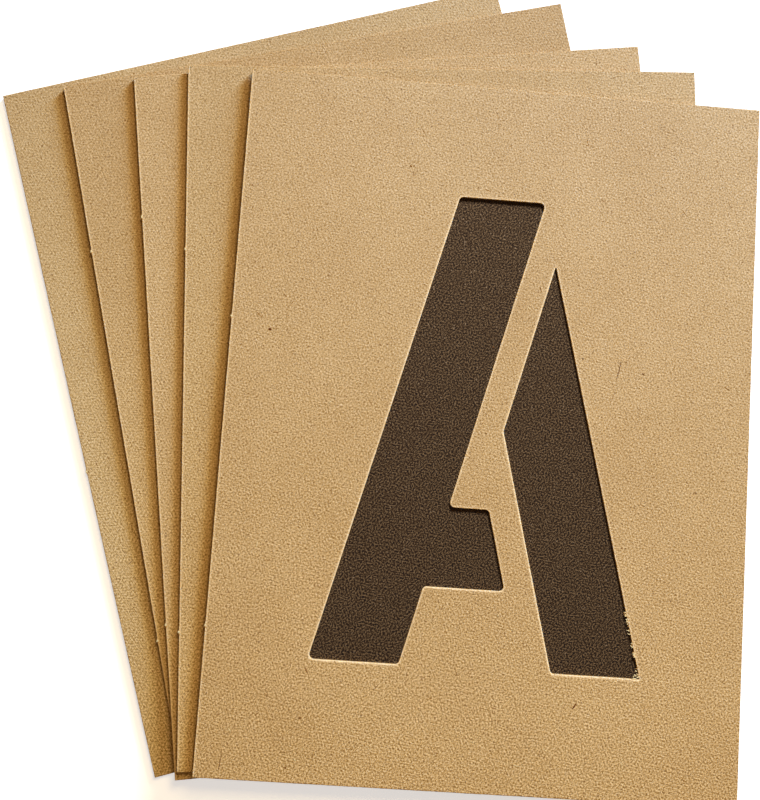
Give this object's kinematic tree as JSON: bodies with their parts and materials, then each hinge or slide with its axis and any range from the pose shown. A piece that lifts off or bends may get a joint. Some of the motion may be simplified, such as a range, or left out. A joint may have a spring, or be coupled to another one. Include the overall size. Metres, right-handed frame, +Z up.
{
  "type": "lettering stencil set",
  "caption": "Fan of loose board lettering stencils with large bridged capitals cut through, the top one backed by a dark sheet that shows through the letter A.",
  "frame": {"origin": "middle of the fan's outline, on the underside of the bottom card", "axes": "+Z up through the stack, +Y towards the top of the letter A, +X to its right; the bottom card rests on Z = 0"},
  "size_m": [0.3394, 0.3604, 0.0089],
  "materials": {
    "kraft_board": "matt, fine fibres",
    "dark_sheet": "matt, fine fibres"
  },
  "bodies": {
    "e_card": {"letter_e_card": "kraft_board"},
    "d_card": {"letter_d_card": "kraft_board"},
    "c_card": {"letter_c_card": "kraft_board"},
    "b_card": {"letter_b_card": "kraft_board"},
    "backing": {"backing_sheet": "dark_sheet"},
    "a_card": {"letter_a_card": "kraft_board"}
  },
  "joints": [
    {"name": "d_card_fan", "type": "hinge", "parent": "e_card", "child": "d_card", "pos_m": [-0.05137, -0.39056, 0.00245], "axis": [0, 0, 1], "range_deg": [-8.94, 3.06]},
    {"name": "c_card_fan", "type": "hinge", "parent": "d_card", "child": "c_card", "pos_m": [-0.06818, -0.16014, 0.00415], "axis": [0, 0, 1], "range_deg": [-5.63, 6.37]},
    {"name": "b_card_fan", "type": "hinge", "parent": "c_card", "child": "b_card", "pos_m": [-0.01453, -0.18748, 0.00585], "axis": [0, 0, 1], "range_deg": [-7.6, 4.4]},
    {"name": "a_card_fan", "type": "hinge", "parent": "b_card", "child": "backing", "pos_m": [-0.0736, -0.27196, 0.007], "axis": [0, 0, 1], "range_deg": [-7.87, 4.13]},
    {"name": "a_card_lift", "type": "slide", "parent": "backing", "child": "a_card", "axis": [0, 0, 1], "range_m": [0, 0.06]}
  ]
}
